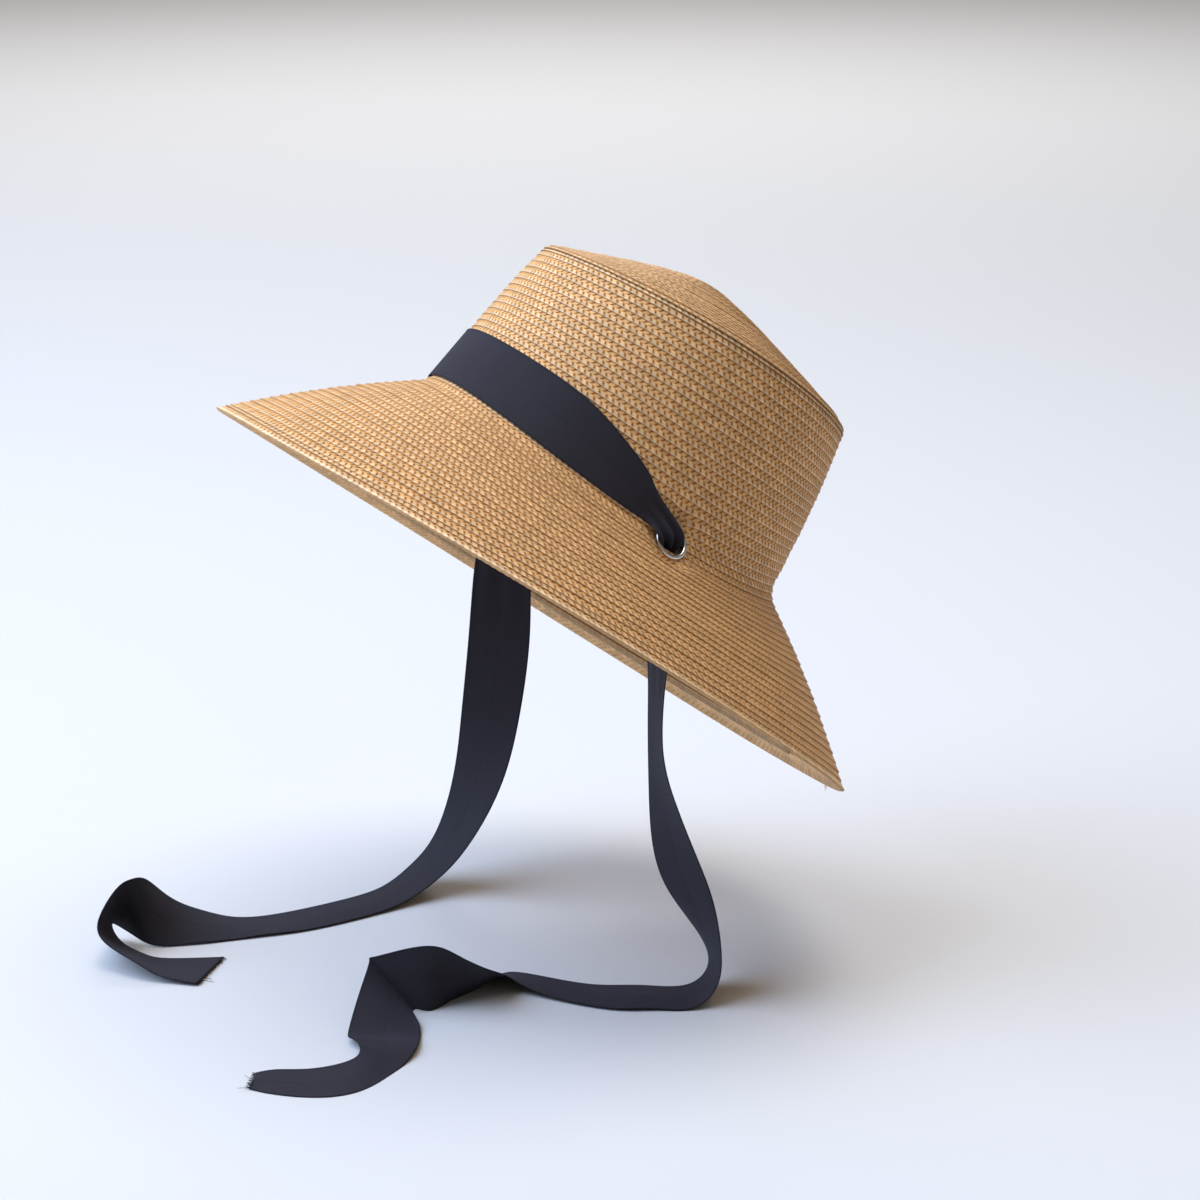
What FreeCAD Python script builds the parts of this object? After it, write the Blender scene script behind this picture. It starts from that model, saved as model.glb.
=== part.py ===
import FreeCAD, Part
import Sketcher
import math
import os

from FreeCAD import Placement, Rotation, Vector

# A spiral-sewn straw sun hat with a ribbon across the front of its crown.
# The hat's own frame: origin at the centre of the head opening, X to the wearer's left,
# -Y to the front, Z up the crown. Every straw piece, the sweatband and the eyelets are
# modelled in that frame and then placed tipped back, the way the hat is worn and shown.
# The ribbon ties hang from the eyelets under gravity, so they are given in the part's frame.

doc = FreeCAD.newDocument("straw_sun_hat")
os.makedirs("parts", exist_ok=True)

# ---------------------------------------------------------------- driving dimensions, mm and degrees
sheet = doc.addObject("Spreadsheet::Sheet", "sizes")
SIZES = [
    ("BaseLength", 200.0, "crown at the brim, front to back, outside"),
    ("BaseWidth", 175.0, "crown at the brim, side to side, outside"),
    ("BaseSaddle", 5.7, "the brim seam is this much higher at front and back, lower at the sides"),
    ("TopLength", 176.0, "crown at its upper edge, front to back"),
    ("TopWidth", 155.0, "crown at its upper edge, side to side"),
    ("TopShift", 2.0, "upper edge towards the back"),
    ("TopSaddle", -1.9, "the upper edge is this much higher at the sides"),
    ("CrownHeight", 92.0, "from the head opening to the upper edge"),
    ("CrownBow", 1.7, "outward bow of the crown wall at half height"),
    ("TipHeight", 24.0, "from the upper edge to the top of the tip"),
    ("TipShift", -8.5, "top of the tip, towards the front"),
    ("TipRound", 0.25, "share of the tip's radius that is rounded over"),
    ("TipButton", 0.05, "share of the tip's radius taken by the flat button at its top"),
    ("BrimLength", 361.0, "brim edge, front to back"),
    ("BrimWidth", 347.0, "brim edge, side to side"),
    ("BrimDrop", 60.0, "from the head opening down to the brim's edge"),
    ("BrimBulge", 3.4, "upward bow of the brim at half its width"),
    ("BrimSaddle", -1.5, "the brim's edge is this much higher at the sides"),
    ("StrawThick", 3.0, "two overlapped layers of braid"),
    ("EdgeWidth", 5.0, "doubled row of braid that binds the brim's edge"),
    ("EdgeThick", 3.6, "thickness of the doubled row"),
    ("BandHeight", 26.0, "sweatband"),
    ("BandThick", 0.8, "sweatband"),
    ("BandStart", 8.0, "sweatband's lower edge above the head opening"),
    ("BandGap", 0.4, "sweatband clear of the straw"),
    ("RibbonWidth", 33.0, "ribbon"),
    ("RibbonThick", 0.6, "ribbon"),
    ("RibbonGap", 0.4, "ribbon clear of the crown"),
    ("EyeletBore", 7.0, "eyelet, inner radius"),
    ("EyeletTube", 0.6, "eyelet, wall of its barrel"),
    ("EyeletFlange", 9.2, "eyelet, outer radius of its flange"),
    ("EyeletLip", 1.1, "eyelet, height of its rounded flange"),
    ("EyeletLength", 7.2, "eyelet, barrel below the flange"),
    ("EyeletCurl", 0.7, "eyelet, end of its barrel curled out over the washer, and that curl's thickness"),
    ("EyeletOut", 3.0, "eyelet's face in front of the seam between crown and brim"),
    ("EyeletPitch", 33.0, "eyelet's axis above level"),
    ("WasherThick", 0.7, "washer behind the straw"),
    ("WasherRadius", 8.9, "washer, outer radius"),
    ("HoleGap", 0.15, "straw and washer clear of the eyelet"),
    ("CutReach", 20.0, "the eyelet's cuts run this far out and in through the straw"),
    ("TipBack", 35.0, "the hat is tipped back by this angle"),
    ("TableDrop", 222.0, "table below the centre of the head opening"),
]
for number, (alias, value, note) in enumerate(SIZES, start=1):
    sheet.set(f"A{number}", alias)
    sheet.set(f"B{number}", str(value))
    sheet.set(f"C{number}", note)
    sheet.setAlias(f"B{number}", alias)
doc.recompute()


def size(alias):
    return float(sheet.get(alias))


TIPPED = Placement(Vector(0, 0, 0), Rotation(Vector(1, 0, 0), -size("TipBack")))
RING_POINTS = 24
SHARES = (0.0, 0.25, 0.5, 0.75, 1.0)
FACETS = 3
parts = []


# ---------------------------------------------------------------- straw: shells between oval rings
def oval(length, width, height, shift=0.0, saddle=0.0):
    """Closed oval wire round the hat's axis. A positive saddle lifts its front and back."""
    points = []
    for i in range(RING_POINTS):
        turn = 2 * math.pi * i / RING_POINTS
        points.append(Vector(width / 2 * math.sin(turn), shift + length / 2 * math.cos(turn),
                             height + saddle * math.cos(2 * turn)))
    curve = Part.BSplineCurve()
    curve.interpolate(Points=points, PeriodicFlag=True)
    return Part.Wire(curve.toShape())


def skin(rings):
    """Faces of the smooth surface through the rings."""
    return Part.makeLoft(rings, False, len(rings) == 2, False).Faces


def solid_of(faces):
    shell = Part.Shell(faces)
    shell.sewShape()
    solid = Part.Solid(Part.Shell(shell.Faces))
    if solid.Volume < 0:
        solid.reverse()
    return solid


def wall_size(share, out):
    """Length, width and backward shift of the crown wall at a share of its height, moved outwards."""
    bow = 4 * share * (1 - share) * size("CrownBow")
    length = size("BaseLength") + share * (size("TopLength") - size("BaseLength")) + 2 * (bow + out)
    width = size("BaseWidth") + share * (size("TopWidth") - size("BaseWidth")) + 2 * (bow + out)
    return length, width, share * size("TopShift")


def wall_ring(share, inset=0.0, lower=0.0):
    """Ring of the crown wall at a share of its height, moved in and down from the outer face."""
    length, width, shift = wall_size(share, -inset)
    saddle = (1 - share) * size("BaseSaddle") + share * size("TopSaddle")
    return oval(length, width, share * size("CrownHeight") - lower, shift, saddle)


def brim_ring(share, sink=0.0):
    """Ring of the brim's upper face at a share of its width, sunk below it."""
    length = size("BaseLength") + share * (size("BrimLength") - size("BaseLength"))
    width = size("BaseWidth") + share * (size("BrimWidth") - size("BaseWidth"))
    height = -share * size("BrimDrop") + 4 * share * (1 - share) * size("BrimBulge") - sink
    saddle = (1 - share) * size("BaseSaddle") + share * size("BrimSaddle")
    return oval(length, width, height, 0.0, saddle)


def tip_rise(share):
    """Height of the tip above the crown's upper edge, at a share of its radius."""
    rounding = size("TipRound")
    fall = math.hypot(1, rounding) - math.hypot(share, rounding)
    return size("TipHeight") * fall / (math.hypot(1, rounding) - rounding)


def tip_ring(share, sink=0.0):
    """Ring of the tip at a share of its radius: 1 is the crown's upper edge, 0 the top."""
    shift = share * size("TopShift") + (1 - share) * size("TipShift")
    saddle = (share - size("TipButton")) / (1 - size("TipButton")) * size("TopSaddle")
    height = size("CrownHeight") + tip_rise(share) - sink
    return oval(share * size("TopLength"), share * size("TopWidth"), height, shift, saddle)


# The wall's two ends are mitres. Each inner corner lies below its outer corner by the other
# piece's thickness, measured straight down, less what that piece rises over the wall's thickness.
thick = size("StrawThick")
brim_out = (size("BrimLength") - size("BaseLength")) / 2
brim_down = size("BrimDrop") + size("BaseSaddle")
brim_slope = brim_down / brim_out
brim_deep = thick * math.hypot(1, brim_slope)
brim_corner = brim_deep - thick * brim_slope
EAVE = 0.9
tip_slope = tip_rise(EAVE) / ((1 - EAVE) * size("TopWidth") / 2)
tip_deep = thick * math.hypot(1, tip_slope)
tip_corner = tip_deep - thick * tip_slope
edge_share = 1 - size("EdgeWidth") / math.hypot(brim_out, brim_down)


def feature(label, shape):
    piece = doc.addObject("Part::Feature", label)
    piece.Shape = shape
    return piece


# Crown wall: outer face, mitre at the tip, inner face, mitre at the brim.
outer = [wall_ring(s) for s in SHARES]
inner = [wall_ring(s, thick, (1 - s) * brim_corner + s * tip_corner) for s in SHARES]
wall_blank = feature("crown_wall_blank", solid_of(
    skin(outer) + skin(inner) + skin([outer[0], inner[0]]) + skin([outer[-1], inner[-1]])))

# Tip: a shallow rounded cone that starts from a small flat button of braid.
TIP_SHARES = (1.0, 0.8, 0.6, 0.4, 0.25, 0.12, size("TipButton"))
top = [tip_ring(s) for s in TIP_SHARES]
bottom = [inner[-1]] + [tip_ring(s, tip_deep) for s in TIP_SHARES[1:]]
tip = feature("crown_tip", solid_of(
    skin(top) + skin(bottom) + skin([top[0], bottom[0]])
    + [Part.Face(top[-1]), Part.Face(bottom[-1])]))
parts.append(tip)

# Brim, up to the doubled row that binds its edge.
upper = [brim_ring(s * edge_share) for s in SHARES]
lower = [inner[0]] + [brim_ring(s * edge_share, brim_deep) for s in SHARES[1:]]
brim_blank = feature("brim_blank", solid_of(
    skin(upper) + skin(lower) + skin([upper[0], lower[0]]) + skin([upper[-1], lower[-1]])))

# Doubled row at the brim's edge: a flat rounded binding a little thicker than the brim.
extra = (size("EdgeThick") - thick) / 2
edge_mid = (edge_share + 1) / 2
edge_turn = 0.996
loop = [
    brim_ring(edge_share), brim_ring(edge_mid, -extra), brim_ring(edge_turn, -extra / 2),
    brim_ring(1.0, brim_deep / 2), brim_ring(edge_turn, brim_deep + extra / 2),
    brim_ring(edge_mid, brim_deep + extra), brim_ring(edge_share, brim_deep),
]
edge_faces = []
for first, second in zip(loop, loop[1:] + loop[:1]):
    edge_faces += skin([first, second])
edge = feature("brim_edge_braid", solid_of(edge_faces))
parts.append(edge)


# Sweatband: a flat band inside the crown, clear of the straw.
def band_ring(height, inset):
    length, width, shift = wall_size(height / size("CrownHeight"), -inset)
    return oval(length, width, height, shift)


band_out = thick + size("BandGap")
band_in = band_out + size("BandThick")
heights = [size("BandStart"), size("BandStart") + size("BandHeight")]
band_outer = [band_ring(z, band_out) for z in heights]
band_inner = [band_ring(z, band_in) for z in heights]
sweatband = feature("sweatband", solid_of(
    skin(band_outer) + skin(band_inner)
    + skin([band_outer[0], band_inner[0]]) + skin([band_outer[1], band_inner[1]])))
parts.append(sweatband)

# ---------------------------------------------------------------- eyelets and their washers
seat_x = size("BaseWidth") / 2 + size("EyeletOut") * math.cos(math.radians(size("EyeletPitch")))
seat_z = -size("BaseSaddle") + size("EyeletOut") * math.sin(math.radians(size("EyeletPitch")))


def eyelet_placement(side):
    """Puts Z of a turned piece along the eyelet's axis, on the left (1) or right (-1) of the hat."""
    turn = Rotation(Vector(0, 1, 0), side * (90 - size("EyeletPitch")))
    return Placement(Vector(side * seat_x, 0, seat_z), turn)


def plane_of(body, role):
    return next(f for f in body.Origin.OriginFeatures if f.Role == role)


def revolved(label, outline):
    """A body turned about Z. The outline is a list of (radius, height) pairs of expressions."""
    body = doc.addObject("PartDesign::Body", label)
    sketch = body.newObject("Sketcher::SketchObject", label + "_outline")
    sketch.AttachmentSupport = [(plane_of(body, "XZ_Plane"), "")]
    sketch.MapMode = "FlatFace"
    count = len(outline)
    spot = [Vector(8 + i % 3, i, 0) for i in range(count)]
    for i in range(count):
        sketch.addGeometry(Part.LineSegment(spot[i], spot[(i + 1) % count]), False)
    for i in range(count):
        sketch.addConstraint(Sketcher.Constraint("Coincident", i, 2, (i + 1) % count, 1))
    for i, (radius, height) in enumerate(outline):
        across = sketch.addConstraint(Sketcher.Constraint("DistanceX", -1, 1, i, 1, spot[i].x))
        sketch.setExpression(f"Constraints[{across}]", radius)
        up = sketch.addConstraint(Sketcher.Constraint("DistanceY", -1, 1, i, 1, spot[i].y))
        sketch.setExpression(f"Constraints[{up}]", height)
    turned = body.newObject("PartDesign::Revolution", label + "_turned")
    turned.Profile = sketch
    turned.ReferenceAxis = (sketch, ["V_Axis"])
    turned.Angle = 360
    doc.recompute()
    return body


BORE = "sizes.EyeletBore"
TUBE = "sizes.EyeletBore + sizes.EyeletTube"
WASH = "-sizes.EyeletLength"
WASHED = "-sizes.EyeletLength - sizes.WasherThick"
eyelet_outline = [
    (BORE, WASHED + " - sizes.EyeletCurl"),
    (TUBE + " + sizes.EyeletCurl", WASHED + " - sizes.EyeletCurl"),
    (TUBE + " + sizes.EyeletCurl", WASHED),
    (TUBE, WASHED),
    (TUBE, "0"),
    ("sizes.EyeletFlange", "0"),
    ("sizes.EyeletFlange", "sizes.EyeletLip * 0.35"),
    ("sizes.EyeletFlange - sizes.EyeletLip * 0.45", "sizes.EyeletLip * 0.8"),
    ("(sizes.EyeletFlange + sizes.EyeletBore) / 2", "sizes.EyeletLip"),
    ("sizes.EyeletBore + sizes.EyeletLip * 0.3", "sizes.EyeletLip * 0.75"),
    (BORE, "sizes.EyeletLip * 0.3"),
]
washer_outline = [
    (TUBE + " + sizes.HoleGap", WASHED),
    ("sizes.WasherRadius", WASHED),
    ("sizes.WasherRadius", WASH),
    (TUBE + " + sizes.HoleGap", WASH),
]


def cutter(label, radius, start, side):
    """Cylinder along an eyelet's axis. Its radius is an expression, its start is above the flange."""
    tool = doc.addObject("Part::Cylinder", label)
    tool.setExpression("Radius", radius)
    tool.setExpression("Height", "sizes.CutReach")
    tool.Placement = eyelet_placement(side) * Placement(Vector(0, 0, start), Rotation())
    return tool


reach = size("CutReach")
washer_seat = -size("EyeletLength")
cutters = []
for side, name in ((1, "left"), (-1, "right")):
    eyelet = revolved("eyelet_" + name, eyelet_outline)
    washer = revolved("eyelet_washer_" + name, washer_outline)
    for piece in (eyelet, washer):
        piece.Placement = TIPPED * eyelet_placement(side)
        parts.append(piece)
    cutters += [
        cutter("hole_" + name, TUBE + " + sizes.HoleGap", -reach, side),
        cutter("flange_seat_" + name, "sizes.EyeletFlange + sizes.HoleGap", 0, side),
        cutter("washer_seat_" + name, "sizes.WasherRadius + sizes.HoleGap", washer_seat - reach, side),
    ]
drill = doc.addObject("Part::MultiFuse", "eyelet_holes")
drill.Shapes = cutters
for label, blank in (("crown_wall", wall_blank), ("brim", brim_blank)):
    cut = doc.addObject("Part::Cut", label)
    cut.Base = blank
    cut.Tool = drill
    parts.append(cut)
doc.recompute()
STRAW = ("crown_tip", "crown_wall", "brim", "brim_edge_braid")
for piece in parts:
    if piece.Label in STRAW + ("sweatband",):
        piece.Placement = TIPPED


# ---------------------------------------------------------------- ribbon
def strip(stations, thickness):
    """A flat ribbon, as a closed faceted solid, through stations of (centre, direction across, width)."""
    count = len(stations)
    edges = []
    for reach in (-0.5, 0.5):
        curve = Part.BSplineCurve()
        curve.interpolate(Points=[c + a * (w * reach) for c, a, w in stations],
                          Parameters=[float(i) for i in range(count)])
        edges.append([curve.value(i / FACETS) for i in range((count - 1) * FACETS + 1)])
    left, right = edges
    sections = []
    for i, (a, b) in enumerate(zip(left, right)):
        before, after = max(i - 1, 0), min(i + 1, len(left) - 1)
        along = (left[after] + right[after]) - (left[before] + right[before])
        normal = (b - a).cross(along).normalize() * (thickness / 2)
        sections.append([a - normal, b - normal, b + normal, a + normal])
    faces = []
    for near, far in zip(sections, sections[1:]):
        for i in range(4):
            p, q, r, t = near[i], near[(i + 1) % 4], far[(i + 1) % 4], far[i]
            faces.append(Part.Face(Part.makePolygon([p, q, r, p])))
            faces.append(Part.Face(Part.makePolygon([p, r, t, p])))
    for p, q, r, t in (sections[0], sections[-1]):
        faces.append(Part.Face(Part.makePolygon([p, q, r, t, p])))
    return solid_of(faces)


def across(swing, lean):
    """Unit vector across the ribbon: swing turns it about the vertical from X, lean lifts it."""
    a, b = math.radians(swing), math.radians(lean)
    return Vector(math.cos(a) * math.cos(b), math.sin(a) * math.cos(b), math.sin(b))


def band_station(turn, low, high):
    """Ribbon on the crown at an angle from the back, from low to high above the brim seam."""
    spots = []
    for height in (low, high):
        share = height / size("CrownHeight")
        length, width, shift = wall_size(share, size("RibbonGap") + size("RibbonThick") / 2)
        angle = math.radians(turn)
        saddle = (1 - share) * size("BaseSaddle") * math.cos(2 * angle)
        spot = Vector(width / 2 * math.sin(angle), length / 2 * math.cos(angle) + shift, height + saddle)
        spots.append(TIPPED.multVec(spot))
    step = spots[1] - spots[0]
    return (spots[0] + spots[1]) * 0.5, Vector(step).normalize(), step.Length


def eyelet_station(side, depth, width, turn):
    """Ribbon inside an eyelet, gathered to a width. A turn of 0 lies front to back, 90 stands up."""
    pitch, bank = math.radians(size("EyeletPitch")), math.radians(turn)
    upward = Vector(-side * math.sin(pitch), 0, math.cos(pitch)) * math.sin(bank)
    direction = TIPPED.Rotation.multVec(upward + Vector(0, math.cos(bank), 0))
    return (TIPPED * eyelet_placement(side)).multVec(Vector(0, 0, -depth)), direction, width


ribbon = size("RibbonWidth")
# Front band: its lower edge follows the seam, its upper edge comes down to each eyelet.
# Rows are the angle from the back, then both edges above the seam as shares of the ribbon's width.
GATHER = [(94, 0.02, 0.28), (98, 0.02, 0.42), (105, 0.02, 0.62), (114, 0.02, 0.78), (127, 0.02, 0.94)]
MIDDLE = range(142, 225, 19)
BAND_END = (1.2, 9.0, 80)
left_half = [band_station(t, a * ribbon, b * ribbon) for t, a, b in GATHER]
right_half = [band_station(360 - t, a * ribbon, b * ribbon) for t, a, b in reversed(GATHER)]
band_stations = [eyelet_station(1, *BAND_END)] + left_half
band_stations += [band_station(t, 0.02 * ribbon, ribbon) for t in MIDDLE]
band_stations += right_half + [eyelet_station(-1, *BAND_END)]
parts.append(feature("ribbon_band", strip(band_stations, size("RibbonThick"))))

# Ties: (x, y, height above the table, swing, lean, share of the ribbon's width).
TIE_RIGHT = [
    (-84, -6, 206, 80, 0, 0.5), (-85, -11, 186, 70, 0, 0.75), (-83, -15, 168, 62, 0, 0.88),
    (-83, -17, 133, 58, 0, 0.97), (-83, -22, 93, 48, 0, 0.97), (-83, -30, 57, 24, 0, 1),
    (-86, -44, 25, 6, 0, 1), (-86, -60, 9, 0, 0, 1), (-79, -80, 2, -8, 0, 1),
    (-71, -104, 1, -18, 0, 1), (-66, -132, 1, -16, 0, 0.97), (-67, -158, 1, 0, 0, 0.95),
    (-69, -176, 3, 4, -10, 1), (-70, -190, 6, -2, -19, 1), (-70, -202, 10, -6, -36, 1),
    (-66, -214, 17, -5, -70, 1), (-67, -222, 20, 160, -78, 1), (-71, -228, 20, 165, -56, 1),
    (-68, -234, 17, 155, -34, 1), (-62, -237, 12, 148, -22, 1), (-50, -235, 8, 150, -18, 1),
    (-35, -228, 5, 158, -12, 1), (-26, -219, 2, 158, -5, 1), (-15, -199, 1, 142, 0, 1.2),
]
TIE_LEFT = [
    (84, -6, 206, 70, 0, 0.5), (85, -8, 186, 30, 0, 0.75), (87, -8, 163, -6, 0, 0.95),
    (89, -10, 126, -14, 0, 1), (91, -7, 96, -2, 0, 1), (94, -2, 70, 14, 0, 1),
    (99, 4, 47, 16, 0, 1), (107, 10, 26, -6, 0, 1), (112, 10, 10, -20, 0, 1),
    (113, -3, 1, -22, 0, 1), (105, -22, 1, -16, 0, 1), (94, -43, 1, -10, 0, 1),
    (68, -64, 2, -15, 4, 0.95), (60, -76, 5, -16, 18, 0.96), (72, -93, 10, -10, 36, 0.98),
    (76, -108, 14, -8, 60, 0.98), (76, -121, 16, -115, 84, 0.98),
    (68, -134, 13, -136, 48, 0.97), (68, -137, 12, -140, 43, 0.97),
    (81, -143, 8, -139, 20, 0.98), (98, -152, 2, -114, 3, 1.01), (111, -157, 3, -116, 4, 0.95),
    (119, -160, 3, -133, 5, 0.84), (128, -167, 3, -158, 14, 0.8), (140, -180, 2, 168, 7, 0.9),
    (140, -200, 1, 167, 1, 0.96), (132, -216, 1, 159, 1, 0.8), (126, -226, 1, 150, 0, 0.5),
]


def tie(side, rows):
    """The ribbon from inside its eyelet to its cut end."""
    stations = [eyelet_station(side, 2.6, 9.0, 60), eyelet_station(side, 8.0, 10.0, 30)]
    for x, y, above, swing, lean, share in rows:
        centre = Vector(x, y, above - size("TableDrop"))
        stations.append((centre, across(swing, lean), share * ribbon))
    return stations


for side, name, rows in ((1, "left", TIE_LEFT), (-1, "right", TIE_RIGHT)):
    stations = tie(side, rows)
    run = sum((q[0] - p[0]).Length for p, q in zip(stations, stations[1:]))
    print(f"ribbon tie {name}: {run:.0f} mm from its eyelet to its end")
    parts.append(feature("ribbon_tie_" + name, strip(stations, size("RibbonThick"))))

# ---------------------------------------------------------------- checks and export
doc.recompute()
for thing in doc.Objects:
    if "Invalid" in thing.State or "Error" in thing.State:
        raise SystemExit(f"{thing.Label} failed: {thing.State}")
for piece in parts:
    shape = piece.Shape
    if shape.isNull() or not shape.isValid() or len(shape.Solids) != 1:
        raise SystemExit(f"{piece.Label} isn't one valid solid")
    print(f"{piece.Label:22s} volume {shape.Volume / 1000:8.2f} cm3")
for piece in parts:
    piece.Shape.exportStep(f"parts/{piece.Label}.step")
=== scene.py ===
import math

import bmesh
import bpy
import numpy as np
from mathutils import Matrix, Vector


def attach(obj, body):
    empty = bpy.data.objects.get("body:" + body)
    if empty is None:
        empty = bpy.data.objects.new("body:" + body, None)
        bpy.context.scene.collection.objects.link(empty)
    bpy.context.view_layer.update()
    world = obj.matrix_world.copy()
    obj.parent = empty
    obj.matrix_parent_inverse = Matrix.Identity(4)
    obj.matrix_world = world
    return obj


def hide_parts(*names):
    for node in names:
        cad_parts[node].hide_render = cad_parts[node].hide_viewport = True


# A spiral-sewn straw sun hat with a ribbon that goes through two eyelets and hangs as ties.
# Lengths in this script are millimetres until a mesh is made. The hat's own frame has its origin
# at the centre of the head opening, X to the wearer's left, -Y to the front and Z up the crown;
# the row's frame is the same one tipped back.

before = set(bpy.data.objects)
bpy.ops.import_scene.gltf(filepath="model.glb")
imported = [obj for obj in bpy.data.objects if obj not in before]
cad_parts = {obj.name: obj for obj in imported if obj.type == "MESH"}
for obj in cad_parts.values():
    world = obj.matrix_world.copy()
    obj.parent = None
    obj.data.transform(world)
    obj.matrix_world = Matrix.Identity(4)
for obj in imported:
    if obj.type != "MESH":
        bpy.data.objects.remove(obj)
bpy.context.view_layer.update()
MM = 0.001
rng = np.random.default_rng(7)

# ---------------------------------------------------------------- driving dimensions
BASE_LENGTH, BASE_WIDTH, BASE_SADDLE = 200.0, 175.0, 5.7
TOP_LENGTH, TOP_WIDTH, TOP_SHIFT, TOP_SADDLE = 176.0, 155.0, 2.0, -1.9
CROWN_HEIGHT, CROWN_BOW = 92.0, 1.7
TIP_HEIGHT, TIP_SHIFT, TIP_ROUND = 24.0, -8.5, 0.25
BRIM_LENGTH, BRIM_WIDTH, BRIM_DROP, BRIM_BULGE, BRIM_SADDLE = 361.0, 347.0, 60.0, 3.4, -1.5
STRAW_THICK = 3.0
BAND_START, BAND_HEIGHT = 8.0, 26.0
RIBBON_WIDTH, RIBBON_THICK, RIBBON_GAP = 33.0, 0.5, 0.7
EYELET_BORE, EYELET_TUBE, EYELET_FLANGE, EYELET_LIP = 7.0, 0.6, 9.2, 1.1
EYELET_LENGTH, EYELET_OUT, EYELET_PITCH, WASHER_THICK, WASHER_RADIUS = 7.2, 3.0, 33.0, 0.7, 8.9
TIP_BACK, TABLE_DROP = 35.0, 222.0
TIPPED = np.array(Matrix.Rotation(math.radians(-TIP_BACK), 3, "X"))

# Distance along the hat's outline from the middle of the tip: tip, then wall, then brim.
TIP_RUN = 84.0
WALL_RUN = 93.0
BRIM_RUN = math.hypot((BRIM_LENGTH - BASE_LENGTH) / 2, BRIM_DROP + BASE_SADDLE)
SEAM = TIP_RUN + WALL_RUN


# ---------------------------------------------------------------- camera, light and floor
def make_camera():
    data = bpy.data.cameras.new("camera")
    data.lens, data.sensor_width = 102.1, 36.0
    data.clip_start, data.clip_end = 0.05, 60.0
    camera = bpy.data.objects.new("camera", data)
    azimuth, pitch = math.radians(65.44), math.radians(14.28)
    level = math.cos(pitch)
    forward = Vector((-math.sin(azimuth) * level, math.cos(azimuth) * level, -math.sin(pitch)))
    camera.location = Vector((1480.8, -674.5, 361.4)) * MM
    camera.rotation_mode = "QUATERNION"
    camera.rotation_quaternion = forward.to_track_quat("-Z", "Y")
    bpy.context.scene.collection.objects.link(camera)
    bpy.context.scene.camera = camera


def area_light(name, place, aim, size, power, colour):
    data = bpy.data.lights.new(name, "AREA")
    data.shape, data.size, data.energy, data.color = "DISK", size, power, colour
    lamp = bpy.data.objects.new(name, data)
    lamp.location = place
    lamp.rotation_mode = "QUATERNION"
    lamp.rotation_quaternion = (Vector(aim) - Vector(place)).to_track_quat("-Z", "Y")
    bpy.context.scene.collection.objects.link(lamp)


def make_studio():
    scene = bpy.context.scene
    scene.view_settings.view_transform = "Standard"
    scene.view_settings.look = "None"
    world = bpy.data.worlds.new("studio")
    scene.world = world
    world.use_nodes = True
    sky = world.node_tree.nodes["Background"]
    sky.inputs["Color"].default_value = (1.0, 0.945, 0.85, 1)
    sky.inputs["Strength"].default_value = 0.20
    area_light("key", (-0.75, -2.2, 2.0), (0, 0, 0), 4.0, 138, (0.77, 1.0, 1.40))
    area_light("top", (-0.1, 0.3, 2.6), (0, 0, 0), 2.4, 52, (1.0, 0.96, 0.90))
    area_light("far", (-3.8, 1.6, 2.6), (-4.6, 1.9, -0.2), 2.6, 95, (1.0, 1.0, 1.0))
    half = 14.0
    mesh = bpy.data.meshes.new("floor")
    below = -TABLE_DROP * MM
    corners = [(-half, -half, below), (half, -half, below), (half, half, below), (-half, half, below)]
    mesh.from_pydata(corners, [], [(0, 1, 2, 3)])
    floor = bpy.data.objects.new("floor", mesh)
    scene.collection.objects.link(floor)
    paint = bpy.data.materials.new("floor_paper")
    paint.use_nodes = True
    shader = paint.node_tree.nodes["Principled BSDF"]
    shader.inputs["Base Color"].default_value = (0.655, 0.64, 0.635, 1)
    shader.inputs["Roughness"].default_value = 0.6
    shader.inputs["Specular IOR Level"].default_value = 0.25
    mesh.materials.append(paint)


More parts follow.
